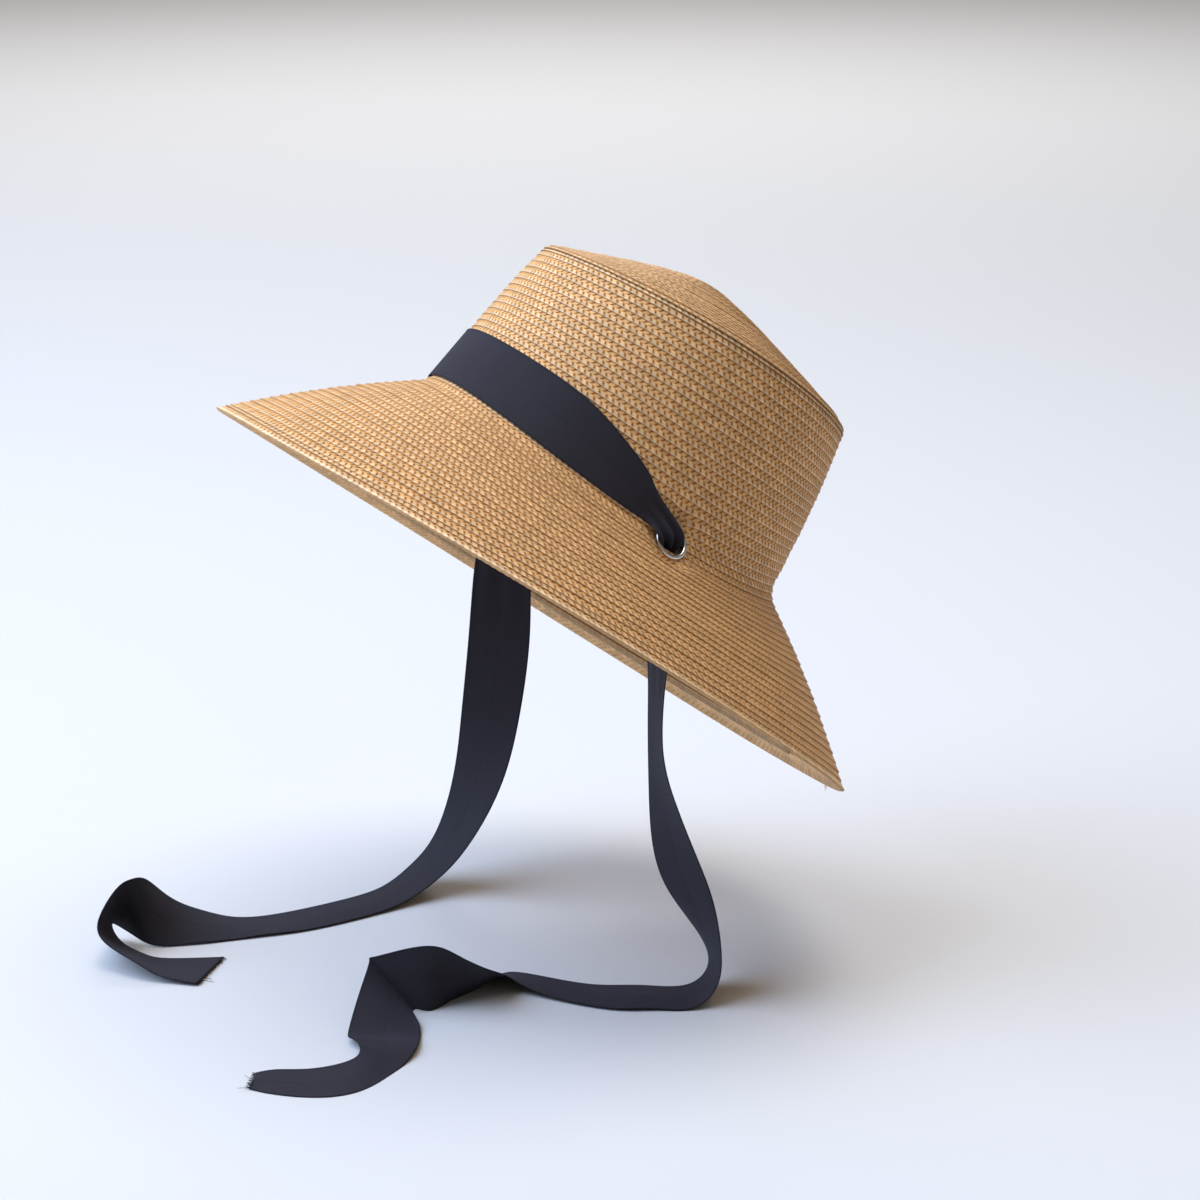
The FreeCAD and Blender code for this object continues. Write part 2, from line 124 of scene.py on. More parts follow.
# ---------------------------------------------------------------- node helpers
class Graph:
    """Short forms for the nodes that the materials are built from."""

    def __init__(self, name):
        self.material = bpy.data.materials.new(name)
        self.material.use_nodes = True
        self.tree = self.material.node_tree
        self.shader = self.tree.nodes["Principled BSDF"]

    def node(self, kind, **settings):
        made = self.tree.nodes.new(kind)
        for key, value in settings.items():
            setattr(made, key, value)
        return made

    def feed(self, socket, value):
        if isinstance(value, bpy.types.NodeSocket):
            self.tree.links.new(value, socket)
        else:
            socket.default_value = value

    def math(self, operation, *values, clamp=False):
        made = self.node("ShaderNodeMath", operation=operation, use_clamp=clamp)
        for socket, value in zip(made.inputs, values):
            self.feed(socket, value)
        return made.outputs[0]

    def mix(self, share, low, high):
        """Number between low and high."""
        made = self.node("ShaderNodeMix", data_type="FLOAT")
        for place, value in ((0, share), (2, low), (3, high)):
            self.feed(made.inputs[place], value)
        return made.outputs[0]

    def blend(self, share, low, high, mode="MIX"):
        """Colour between low and high."""
        made = self.node("ShaderNodeMix", data_type="RGBA", blend_type=mode)
        self.feed(made.inputs[0], share)
        self.feed(made.inputs[6], low)
        self.feed(made.inputs[7], high)
        return made.outputs[2]

    def attribute(self, name):
        made = self.node("ShaderNodeAttribute", attribute_name=name)
        parts = self.node("ShaderNodeSeparateXYZ")
        self.tree.links.new(made.outputs["Vector"], parts.inputs[0])
        return parts.outputs[0], parts.outputs[1], parts.outputs[2]

    def vector(self, x=0.0, y=0.0, z=0.0):
        made = self.node("ShaderNodeCombineXYZ")
        for socket, value in zip(made.inputs, (x, y, z)):
            self.feed(socket, value)
        return made.outputs[0]

    def ramp(self, value, stops):
        made = self.node("ShaderNodeValToRGB")
        line = made.color_ramp.elements
        while len(line) < len(stops):
            line.new(0.5)
        for spot, (place, colour) in zip(line, stops):
            spot.position, spot.color = place, (*colour, 1)
        self.feed(made.inputs[0], value)
        return made.outputs[0]

    def noise(self, vector, scale, detail=2.0):
        made = self.node("ShaderNodeTexNoise")
        self.feed(made.inputs["Vector"], vector)
        made.inputs["Scale"].default_value = scale
        made.inputs["Detail"].default_value = detail
        return made.outputs[0]

    def random(self, x, y):
        made = self.node("ShaderNodeTexWhiteNoise", noise_dimensions="3D")
        self.feed(made.inputs["Vector"], self.vector(x, y, 0.5))
        return made.outputs["Value"]

    def smooth(self, value, low, high):
        made = self.node("ShaderNodeMapRange", interpolation_type="SMOOTHSTEP")
        self.feed(made.inputs["Value"], value)
        made.inputs["From Min"].default_value = low
        made.inputs["From Max"].default_value = high
        return made.outputs["Result"]

    def bump(self, height, depth, strength=1.0, under=None):
        made = self.node("ShaderNodeBump")
        made.inputs["Distance"].default_value = depth * MM
        made.inputs["Strength"].default_value = strength
        self.feed(made.inputs["Height"], height)
        if under is not None:
            self.feed(made.inputs["Normal"], under)
        return made.outputs["Normal"]

    def pillow(self, place, power):
        """1 in the middle of a cell and 0 at its ends, for a place from 0 to 1."""
        away = self.math("ABSOLUTE", self.math("MULTIPLY_ADD", place, 2.0, -1.0))
        return self.math("SUBTRACT", 1.0, self.math("POWER", away, power))


# ---------------------------------------------------------------- materials
# STRAW_GAP and STRAW_DEEP are painted shade for the pits between the yarns.
STRAW_GAP, STRAW_DEEP = (0.19, 0.046, 0.007), (0.45, 0.152, 0.030)
STRAW_MID, STRAW_LIGHT = (0.68, 0.355, 0.116), (0.92, 0.71, 0.47)
YARN_PITCH, YARN_LEAN, YARN_BACK = 3.6, 6.0, 4.4


def straw_material(name, split, foot_shade, plain, lip=0.0):
    """Plaited straw. The attribute weave holds mm along and across the braid and the row's number.

    A row shows folded yarns that lean one way from its raised edge up to split, and beyond them
    yarns that lean the other way, up to the next row's edge. foot_shade is how dark the painted
    shade is at that edge's foot, where the row above overlaps this one; plain is how light the yarns
    are beside their folds, and lip how much wider the folds are.
    """
    g = Graph(name)
    along, over, row = g.attribute("weave")
    inner, shown, _ = g.attribute("inner")
    up = g.mix(inner, g.math("SUBTRACT", BRAID_WIDE, over), over)
    wobble = g.noise(g.vector(along, g.math("MULTIPLY", row, 7.0)), 0.06)
    fold = g.math("MULTIPLY_ADD", along, 1 / YARN_PITCH, g.math("MULTIPLY", up, -1 / YARN_LEAN))
    fold = g.math("ADD", fold, g.math("MULTIPLY_ADD", row, 0.37, g.math("MULTIPLY", wobble, 0.9)))
    back = g.math("MULTIPLY_ADD", up, 1 / YARN_LEAN + 1 / YARN_BACK, fold)
    back = g.math("ADD", back, 0.5 - split * (1 / YARN_LEAN + 1 / YARN_BACK))
    fold_cell, fold_place = g.math("FLOOR", fold), g.math("FRACT", fold)
    back_cell, back_place = g.math("FLOOR", back), g.math("FRACT", back)
    fold_high = g.math("MULTIPLY", g.pillow(fold_place, 3.6), g.smooth(up, split + 0.7, split - 0.1))
    back_high = g.math("MULTIPLY", g.pillow(back_place, 3.2), g.smooth(up, split - 0.6, split + 0.2))
    on_back = g.math("GREATER_THAN", back_high, fold_high)
    high = g.math("MULTIPLY", g.math("MAXIMUM", fold_high, g.math("MULTIPLY", back_high, 0.92)), plain)
    ridge = g.math("MULTIPLY", g.smooth(up, 1.15 + lip, 0.70 + lip), g.mix(g.pillow(fold_place, 2.0), 0.74, 1.0))
    high = g.math("MAXIMUM", high, ridge)
    high = g.mix(g.math("MULTIPLY", inner, 0.7), high, 0.86)
    # Fibres along the yarns, and a shade for each yarn, row and stretch of the hat.
    stretched = g.vector(g.math("MULTIPLY", along, 1.6), g.math("MULTIPLY", over, 3.0), row)
    fibre = g.noise(stretched, 1.5, 3.0)
    shade = g.mix(on_back, g.random(fold_cell, row), g.random(back_cell, g.math("ADD", row, 0.3)))
    broad = g.noise(g.vector(g.math("MULTIPLY", along, 0.02), row), 0.7)
    # The colour follows the relief height: darkest in the pits between yarns, a painted shade, and lightest on
    # the yarn tops and the row's raised edge.
    colour = g.ramp(high, [(0.0, STRAW_GAP), (0.30, STRAW_DEEP), (0.66, STRAW_MID), (1.0, STRAW_LIGHT)])
    tone = g.math("MULTIPLY_ADD", shade, 0.30, 0.83)
    tone = g.math("MULTIPLY", tone, g.math("MULTIPLY_ADD", fibre, 0.36, 0.83))
    tone = g.math("MULTIPLY", tone, g.math("MULTIPLY_ADD", broad, 0.20, 0.90))
    # Painted shade at the foot of the row above, where it overlaps this row, deeper where less of the row shows.
    covered = g.math("SUBTRACT", up, shown)
    foot = g.smooth(covered, 0.1, -0.7)
    tone = g.math("MULTIPLY", tone, g.mix(foot, g.mix(g.smooth(shown, 2.2, 3.8), 0.55, foot_shade), 1.0))
    colour = g.blend(1.0, colour, g.vector(tone, tone, tone), "MULTIPLY")
    # The inside is tinted a little browner: a painted warm cast that stands in for the light under the brim and
    # inside the crown.
    colour = g.blend(inner, colour, g.blend(1.0, colour, (1.0, 0.93, 0.80, 1), "MULTIPLY"))
    g.feed(g.shader.inputs["Base Color"], colour)
    rough = g.math("ADD", g.mix(high, 1.0, 0.42), g.math("MULTIPLY", fibre, 0.15))
    g.feed(g.shader.inputs["Roughness"], rough)
    g.shader.inputs["Specular IOR Level"].default_value = 0.4
    relief = g.math("ADD", high, g.math("MULTIPLY", fibre, 0.25))
    g.feed(g.shader.inputs["Normal"], g.bump(relief, 0.6, 0.9))
    return g.material


def cloth_material(name, dark, light, pitch):
    """Fine twill with a dense selvedge. The attribute weave holds mm along and mm from the edge."""
    g = Graph(name)
    along, over, _ = g.attribute("weave")
    slant = g.math("ADD", g.math("MULTIPLY", along, 1 / pitch), g.math("MULTIPLY", over, 0.7 / pitch))
    twill = g.pillow(g.math("FRACT", slant), 2.0)
    pick = g.pillow(g.math("FRACT", g.math("MULTIPLY", over, 1 / (pitch * 0.8))), 2.0)
    thread = g.math("MULTIPLY", twill, g.mix(0.5, pick, 1.0))
    fuzz = g.noise(g.vector(along, over), 1.3, 4.0)
    cloud = g.noise(g.vector(g.math("MULTIPLY", along, 0.06), g.math("MULTIPLY", over, 0.06)), 1.0)
    share = g.math("ADD", g.math("MULTIPLY", thread, 0.45), g.math("MULTIPLY", fuzz, 0.4))
    share = g.math("ADD", share, g.math("MULTIPLY", cloud, 0.25), clamp=True)
    colour = g.blend(share, (*dark, 1), (*light, 1))
    selvedge = g.smooth(over, 1.3, 0.9)
    colour = g.blend(g.math("MULTIPLY", selvedge, 0.45), colour, (*dark, 1))
    g.feed(g.shader.inputs["Base Color"], colour)
    g.shader.inputs["Roughness"].default_value = 0.82
    g.shader.inputs["Specular IOR Level"].default_value = 0.25
    g.shader.inputs["Sheen Weight"].default_value = 0.06
    g.shader.inputs["Sheen Roughness"].default_value = 0.45
    g.shader.inputs["Sheen Tint"].default_value = (0.62, 0.66, 0.9, 1)
    rim = g.pillow(g.math("MULTIPLY", over, 1 / 1.1, clamp=True), 2.0)
    rib = g.math("ADD", thread, g.math("MULTIPLY", rim, 1.2))
    g.feed(g.shader.inputs["Normal"], g.bump(g.math("ADD", rib, fuzz), 0.12, 0.7))
    return g.material


def metal_material(name):
    """Bright nickel plate with faint wear."""
    g = Graph(name)
    spot = g.node("ShaderNodeTexCoord").outputs["Object"]
    wear = g.noise(spot, 900.0, 4.0)
    fine = g.noise(spot, 2600.0, 2.0)
    g.shader.inputs["Metallic"].default_value = 1.0
    colour = g.blend(wear, (0.62, 0.61, 0.59, 1), (0.86, 0.85, 0.83, 1))
    g.feed(g.shader.inputs["Base Color"], colour)
    g.feed(g.shader.inputs["Roughness"], g.math("MULTIPLY_ADD", wear, 0.22, 0.12))
    g.feed(g.shader.inputs["Normal"], g.bump(fine, 0.02, 0.3))
    return g.material


# ---------------------------------------------------------------- the hat's surface
def tip_point(turn, share):
    fall = math.hypot(1, TIP_ROUND) - np.hypot(share, TIP_ROUND)
    rise = TIP_HEIGHT * fall / (math.hypot(1, TIP_ROUND) - TIP_ROUND)
    x = share * TOP_WIDTH / 2 * np.sin(turn)
    y = share * TOP_SHIFT + (1 - np.abs(share)) * TIP_SHIFT + share * TOP_LENGTH / 2 * np.cos(turn)
    return np.stack([x, y, CROWN_HEIGHT + rise + share * TOP_SADDLE * np.cos(2 * turn)], -1)


def wall_point(turn, share, out=0.0):
    bow = 4 * share * (1 - share) * CROWN_BOW + out
    width = BASE_WIDTH + share * (TOP_WIDTH - BASE_WIDTH) + 2 * bow
    length = BASE_LENGTH + share * (TOP_LENGTH - BASE_LENGTH) + 2 * bow
    saddle = (1 - share) * BASE_SADDLE + share * TOP_SADDLE
    y = share * TOP_SHIFT + length / 2 * np.cos(turn)
    return np.stack([width / 2 * np.sin(turn), y, share * CROWN_HEIGHT + saddle * np.cos(2 * turn)], -1)


def brim_point(turn, share):
    width = BASE_WIDTH + share * (BRIM_WIDTH - BASE_WIDTH)
    length = BASE_LENGTH + share * (BRIM_LENGTH - BASE_LENGTH)
    height = -share * BRIM_DROP + 4 * share * (1 - share) * BRIM_BULGE
    saddle = (1 - share) * BASE_SADDLE + share * BRIM_SADDLE
    return np.stack([width / 2 * np.sin(turn), length / 2 * np.cos(turn), height + saddle * np.cos(2 * turn)], -1)


def outline_point(turn, run):
    """Point of the outer surface at a turn from the back and a run from the middle of the tip."""
    tip = tip_point(turn, run / TIP_RUN)
    wall = wall_point(turn, 1 - (run - TIP_RUN) / WALL_RUN)
    brim = brim_point(turn, (run - SEAM) / BRIM_RUN)
    run = run[..., None]
    return np.where(run < TIP_RUN, tip, np.where(run < SEAM, wall, brim))


TOP_CORNER, SEAM_CORNER = 2.6, 9.5
CORNER_STEPS = ((-1, 1), (-0.5, 2), (0, 3), (0.5, 2), (1, 1))


def rounded_point(turn, run):
    """The same with its two corners rounded."""
    reach = TOP_CORNER + (SEAM_CORNER - TOP_CORNER) * np.clip(1 - np.abs(run - SEAM) / 30, 0, 1)
    total = sum(weight for _, weight in CORNER_STEPS)
    return sum(outline_point(turn, run + reach * s) * weight for s, weight in CORNER_STEPS) / total


def surface(turn, run):
    """Points of the outer surface and its outward normals, in the hat's own frame."""
    round_step = rounded_point(turn + 0.002, run) - rounded_point(turn - 0.002, run)
    down_step = rounded_point(turn, run + 0.4) - rounded_point(turn, run - 0.4)
    normal = np.cross(round_step, down_step)
    normal /= np.linalg.norm(normal, axis=-1, keepdims=True)
    return rounded_point(turn, run), normal


# ---------------------------------------------------------------- mesh helpers
def to_row(points):
    """From the hat's own frame, in mm, to the row's frame, in metres."""
    return np.asarray(points) @ TIPPED.T * MM


def new_piece(name, points, faces, material, node, weave=None, inner=None):
    """A mesh that rides on the part's body and stands for a CAD node."""
    mesh = bpy.data.meshes.new(name)
    mesh.from_pydata(np.asarray(points).tolist(), [], faces)
    if weave is not None:
        mesh.attributes.new("weave", "FLOAT_VECTOR", "POINT").data.foreach_set("vector", np.ravel(weave))
    if inner is not None:
        mesh.attributes.new("inner", "FLOAT_VECTOR", "POINT").data.foreach_set("vector", np.ravel(inner))
    mesh.polygons.foreach_set("use_smooth", [True] * len(mesh.polygons))
    mesh.materials.append(material)
    piece = bpy.data.objects.new(name, mesh)
    bpy.context.scene.collection.objects.link(piece)
    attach(piece, "root")
    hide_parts(node)
    return piece


def tube_faces(count, ring, closed=False):
    """Quads of a tube of count rings of ring points, with caps if it is open."""
    faces = []
    for i in range(count if closed else count - 1):
        a, b = i * ring, (i + 1) % count * ring
        for j in range(ring):
            k = (j + 1) % ring
            faces.append((a + j, a + k, b + k, b + j))
    if not closed:
        faces += [tuple(range(ring))[::-1], tuple(range((count - 1) * ring, count * ring))]
    return faces


# ---------------------------------------------------------------- straw
# The braid's section: share of its width, then mm outward from its middle plane.
BRAID_WIDE, BRAID_THICK = 8.0, 1.15
SECTION = (
    (0.02, 0.25), (0.10, 0.46), (0.50, 0.48), (0.86, 0.50), (0.955, 0.62), (1.0, 0.22),
    (0.985, -0.25), (0.90, -0.46), (0.45, -0.48), (0.08, -0.40),
)
SECTION_INNER = (0.5, 0, 0, 0, 0, 0.5, 1, 1, 1, 1)


def spiral(edges, step):
    """Turn and lower-edge run of evenly spaced samples along a braid whose edges pass these runs."""
    turns, runs, along = [], [], []
    angle, walked = 0.0, 0.0
    last = 2 * math.pi * (len(edges) - 1)
    while angle < last:
        run = float(np.interp(angle / (2 * math.pi), np.arange(len(edges)), edges))
        turns.append(angle)
        runs.append(run)
        along.append(walked)
        here = outline_point(np.array([angle, angle + 0.01]), np.array([run, run]))
        radius = max(float(np.linalg.norm(here[1] - here[0])) / 0.01, 2.0)
        pace = min(step, radius * 0.45)
        angle += pace / radius
        walked += pace
    return np.array(turns + [last]), np.array(runs + [edges[-1]]), np.array(along + [walked])


def braid(name, node, edges, step, climb, material, before=None, pitch=None, lift=0.35, scallop=0.0):
    """One stretch of the hat's spiral braid, each turn lying over the next one out.

    climb is how far a row's lower edge stands over the next row, before the lower edge of the turn
    before the first one, pitch a fixed distance between turns, and scallop how far the yarns'
    folds stand out of the lower edge.
    """
    turn, run, along = spiral(edges, step)
    laps = np.concatenate([[-1], np.arange(len(edges))])
    known = np.concatenate([[edges[0] - (edges[1] - edges[0]) if before is None else before], edges])
    shown = np.maximum(run - np.interp(turn / (2 * math.pi) - 1, laps, known), 1.2)
    if pitch is not None:
        shown = np.full(len(run), pitch)
    ring = len(SECTION)
    share = np.array([s for s, _ in SECTION])
    out = np.array([o for _, o in SECTION]) * BRAID_THICK
    turns = np.repeat(turn[:, None], ring, 1)
    runs = run[:, None] - (1 - share)[None, :] * BRAID_WIDE
    runs = runs + scallop * np.cos(2 * math.pi * along / YARN_PITCH)[:, None] * (share > 0.9)[None, :]
    place, normal = surface(turns, np.maximum(runs, 0.8))
    climb = climb + 0.35 * np.clip(1 - np.abs(run - TIP_RUN - 3.0) / 5, 0, 1)
    drop = np.minimum((1 - share)[None, :] * (BRAID_WIDE / shown * climb)[:, None], 2.2)
    wander = 0.08 * np.sin(along * 0.045 + 1.3) + 0.06 * np.sin(along * 0.013 + 0.4)
    offset = lift - BRAID_THICK / 2 - drop + out[None, :] + wander[:, None]
    points = (place + normal * offset[..., None]).reshape(-1, 3)
    weave = np.zeros((len(turn), ring, 3))
    weave[..., 0] = along[:, None]
    weave[..., 1] = share[None, :] * BRAID_WIDE
    weave[..., 2] = np.floor(turn / (2 * math.pi))[:, None]
    inner = np.zeros((len(turn), ring, 3))
    inner[..., 0] = np.array(SECTION_INNER)[None, :]
    inner[..., 1] = shown[:, None]
    faces = tube_faces(len(turn), ring)
    return new_piece(name, to_row(points), faces, material, node, weave.reshape(-1, 3),
                     inner.reshape(-1, 3))


def eyelet_axes(side):
    """Middle of an eyelet's flange and its outward axis, in the hat's own frame."""
    pitch = math.radians(EYELET_PITCH)
    axis = np.array([side * math.cos(pitch), 0, math.sin(pitch)])
    seat = np.array([side * BASE_WIDTH / 2, 0, -BASE_SADDLE])
    return seat + axis * EYELET_OUT, axis


def fit_eyelets(piece):
    """Presses the straw flat under both flanges and washers and opens it where their barrels go."""
    mesh = piece.data
    work = bmesh.new()
    work.from_mesh(mesh)
    clear, rim, spread = EYELET_BORE + EYELET_TUBE, EYELET_FLANGE + 0.6, 9.0
    for side in (1, -1):
        seat, axis = eyelet_axes(side)
        seat, axis = Vector(to_row(seat) / MM), Vector(to_row(axis) / MM)
        for vert in work.verts:
            away = vert.co / MM - seat
            if away.length > rim + spread + 12:
                continue
            high = away.dot(axis)
            flat = away - axis * high
            ease = min(max((rim + spread - flat.length) / spread, 0), 1)
            ease = ease * ease * (3 - 2 * ease)
            wanted = min(max(high, -EYELET_LENGTH + 0.1), -0.1)
            if flat.length < clear - 0.3:
                continue
            vert.co = (seat + flat + axis * (high + (wanted - high) * ease)) * MM
        doomed = []
        for face in work.faces:
            away = face.calc_center_median() / MM - seat
            high = away.dot(axis)
            if abs(high) < 14 and (away - axis * high).length < clear + 0.1:
                doomed.append(face)
        bmesh.ops.delete(work, geom=doomed, context="FACES")
        for vert in work.verts:
            away = vert.co / MM - seat
            high = away.dot(axis)
            flat = away - axis * high
            if abs(high) < 14 and 0.1 < flat.length < clear:
                vert.co = (seat + axis * high + flat.normalized() * clear) * MM
    open_edges = [e for e in work.edges if e.is_boundary]
    bmesh.ops.holes_fill(work, edges=open_edges, sides=0)
    work.to_mesh(mesh)
    work.free()
    mesh.polygons.foreach_set("use_smooth", [True] * len(mesh.polygons))


def rows(start, end, pitch):
    """Evenly spaced lower edges, from start to end, about a pitch apart."""
    return list(np.linspace(start, end, int(round((end - start) / pitch)) + 1))


TIP_PITCH, WALL_PITCH, BRIM_PITCH = 4.2, 4.1, 4.5


def make_straw():
    tip = straw_material("straw_tip", 2.4, 0.90, 0.84)
    wall = straw_material("straw_wall", 2.4, 0.86, 0.78)
    brim = straw_material("straw_brim", 3.0, 0.82, 0.76)
    edge = straw_material("straw_edge", 3.0, 0.90, 0.80, 0.9)
    corner = TIP_RUN + 0.6
    tip_rows = rows(4.0, corner, TIP_PITCH)
    braid("crown_tip_braid", "crown_tip", tip_rows, 1.9, 0.4, tip)
    wall_rows = [corner, corner + 2.1, corner + 4.3] + rows(corner + 8.4, SEAM - 1.0, WALL_PITCH)
    fit_eyelets(braid("crown_wall_braid", "crown_wall", wall_rows, 1.9, 0.42, wall, tip_rows[-2]))
    end = SEAM + BRIM_RUN - 0.5
    last = end - BRIM_PITCH + 0.3
    brim_rows = rows(SEAM - 1.0, last, BRIM_PITCH) + [last]
    fit_eyelets(braid("brim_braid", "brim", brim_rows, 2.5, 0.55, brim, wall_rows[-2]))
    # The last turn: two layers of braid, the lower one set back a little.
    braid("brim_edge_row", "brim_edge_braid", [end, end], 0.9, 0.55, edge, last, end - last, 0.35, 0.12)
    lower = [end - 0.3, end - 0.3]
    braid("brim_edge_lower_row", "brim_edge_braid", lower, 0.9, 0.4, edge, last, end - last, -0.50, 0.12)
    make_loose_straw(edge)


def make_loose_straw(material):
    """The braid's cut end at the back of the edge: three yarn ends that stand out a little."""
    points, faces, weave = [], [], []
    for i, (degrees, long, lean) in enumerate(((15.6, 3.2, 0.4), (16.3, 1.6, -0.3), (17.0, 2.2, 0.2))):
        turn = math.radians(degrees)
        place, normal = surface(np.array([turn]), np.array([SEAM + BRIM_RUN - 2.0]))
        around = np.array([math.cos(turn), -math.sin(turn), 0])
        outward = np.cross(normal[0], around)
        outward = outward if outward[1] > 0 else -outward
        for j in range(6):
            t = j / 5
            spot = place[0] - normal[0] * (2.1 + 0.9 * t * t) + (outward + around * lean) * long * t
            for k in range(4):
                a = math.pi / 2 * k
                points.append(spot + (around * math.cos(a) + normal[0] * math.sin(a)) * 0.22 * (1 - 0.4 * t))
                weave.append((long * t, 7.5, i))
        faces += [tuple(v + i * 24 for v in face) for face in tube_faces(6, 4)]
    inner = np.tile([0.0, 8.0, 0.0], len(points))
    new_piece("brim_edge_loose_straw", to_row(points), faces, material, "brim_edge_braid",
              np.array(weave), inner)


# ---------------------------------------------------------------- sweatband
def make_sweatband():
    """A tape sewn inside the crown, a little wavy between its stitches."""
    material = cloth_material("sweatband_tape", (0.018, 0.018, 0.022), (0.05, 0.05, 0.06), 0.9)
    count = 360
    section = [(0.0, 0.3), (0.02, 0.0), (0.25, -0.1), (0.5, -0.15), (0.75, -0.1), (0.98, 0.0), (1.0, 0.3),
               (0.98, 0.75), (0.75, 0.8), (0.5, 0.8), (0.25, 0.8), (0.02, 0.75)]
    ring = len(section)
    turn = np.arange(count) / count * 2 * math.pi
    height = BAND_START + BAND_HEIGHT * np.array([h for h, _ in section])
    inset = STRAW_THICK + 0.5 + np.array([o for _, o in section])
    ripple = 0.10 * np.sin(turn * 46) + 0.12 * np.sin(turn * 11 + 0.7)
    turns = np.repeat(turn[:, None], ring, 1)
    share = np.repeat((height / CROWN_HEIGHT)[None, :], count, 0)
    points = wall_point(turns, share, -(inset[None, :] + ripple[:, None] * 0.5 + 0.1))
    points[..., 2] = height[None, :]
    weave = np.zeros((count, ring, 3))
    weave[..., 0] = (turn * BASE_LENGTH * 0.46)[:, None]
    weave[..., 1] = (height - BAND_START)[None, :]
    faces = [f[::-1] for f in tube_faces(count, ring, True)]
    new_piece("sweatband_tape", to_row(points.reshape(-1, 3)), faces, material, "sweatband",
              weave.reshape(-1, 3))


# ---------------------------------------------------------------- eyelets
def lathe(name, outline, side, material, node):
    """A turned piece round an eyelet's axis, from an outline of (radius, height above the flange)."""
    count = 96
    seat, axis = eyelet_axes(side)
    turned = np.array(Vector((0, 0, 1)).rotation_difference(Vector(axis)).to_matrix())
    points = []
    for i in range(count):
        angle = 2 * math.pi * i / count
        for radius, height in outline:
            points.append((radius * math.cos(angle), radius * math.sin(angle), height))
    points = np.array(points) @ turned.T + seat
    faces = tube_faces(count, len(outline), True)
    new_piece(name, to_row(points), faces, material, node)


def make_eyelets():
    metal = metal_material("nickel")
    tube, deep = EYELET_BORE + EYELET_TUBE, EYELET_LENGTH + WASHER_THICK
    mid, half = (EYELET_BORE + EYELET_FLANGE) / 2, (EYELET_FLANGE - EYELET_BORE) / 2
    flange = []
    for i in range(13):
        angle = math.pi * i / 12
        flange.append((mid + half * math.cos(angle), 0.15 + (EYELET_LIP - 0.15) * math.sin(angle)))
    barrel = [(EYELET_BORE, -deep * 0.5), (EYELET_BORE, -deep), (EYELET_BORE + 0.25, -deep - 0.55),
              (tube + 0.35, -deep - 0.6), (tube + 0.7, -deep - 0.3), (tube + 0.6, -deep - 0.05), (tube, -deep),
              (tube, -deep * 0.5), (tube, -0.1), (EYELET_FLANGE - 0.2, -0.05)]
    outline = (flange + barrel)[::-1]
    gap = 0.15
    washer = [(tube + gap, -deep), (tube + gap, -EYELET_LENGTH), (WASHER_RADIUS - 0.2, -EYELET_LENGTH),
              (WASHER_RADIUS, -EYELET_LENGTH - 0.2), (WASHER_RADIUS, -deep + 0.2), (WASHER_RADIUS - 0.2, -deep)]
    for side, name in ((1, "left"), (-1, "right")):
        lathe("eyelet_ring_" + name, outline, side, metal, "eyelet_" + name)
        lathe("eyelet_back_washer_" + name, washer, side, metal, "eyelet_washer_" + name)


# ---------------------------------------------------------------- ribbon
def spline(knots, places):
    """Natural cubic through knots at 0, 1, 2 ..., at these places."""
    knots = np.asarray(knots, float)
    count = len(knots)
    system = np.eye(count)
    wanted = np.zeros_like(knots)
    for i in range(1, count - 1):
        system[i, i - 1:i + 2] = (1, 4, 1)
        wanted[i] = 6 * (knots[i - 1] - 2 * knots[i] + knots[i + 1])
    bend = np.linalg.solve(system, wanted)
    low = np.clip(places.astype(int), 0, count - 2)
    t = (places - low)[:, None]
    a, b = knots[low], knots[low + 1]
    return ((1 - t) * a + t * b + ((1 - t) ** 3 - (1 - t)) * bend[low] / 6 + (t ** 3 - t) * bend[low + 1] / 6)


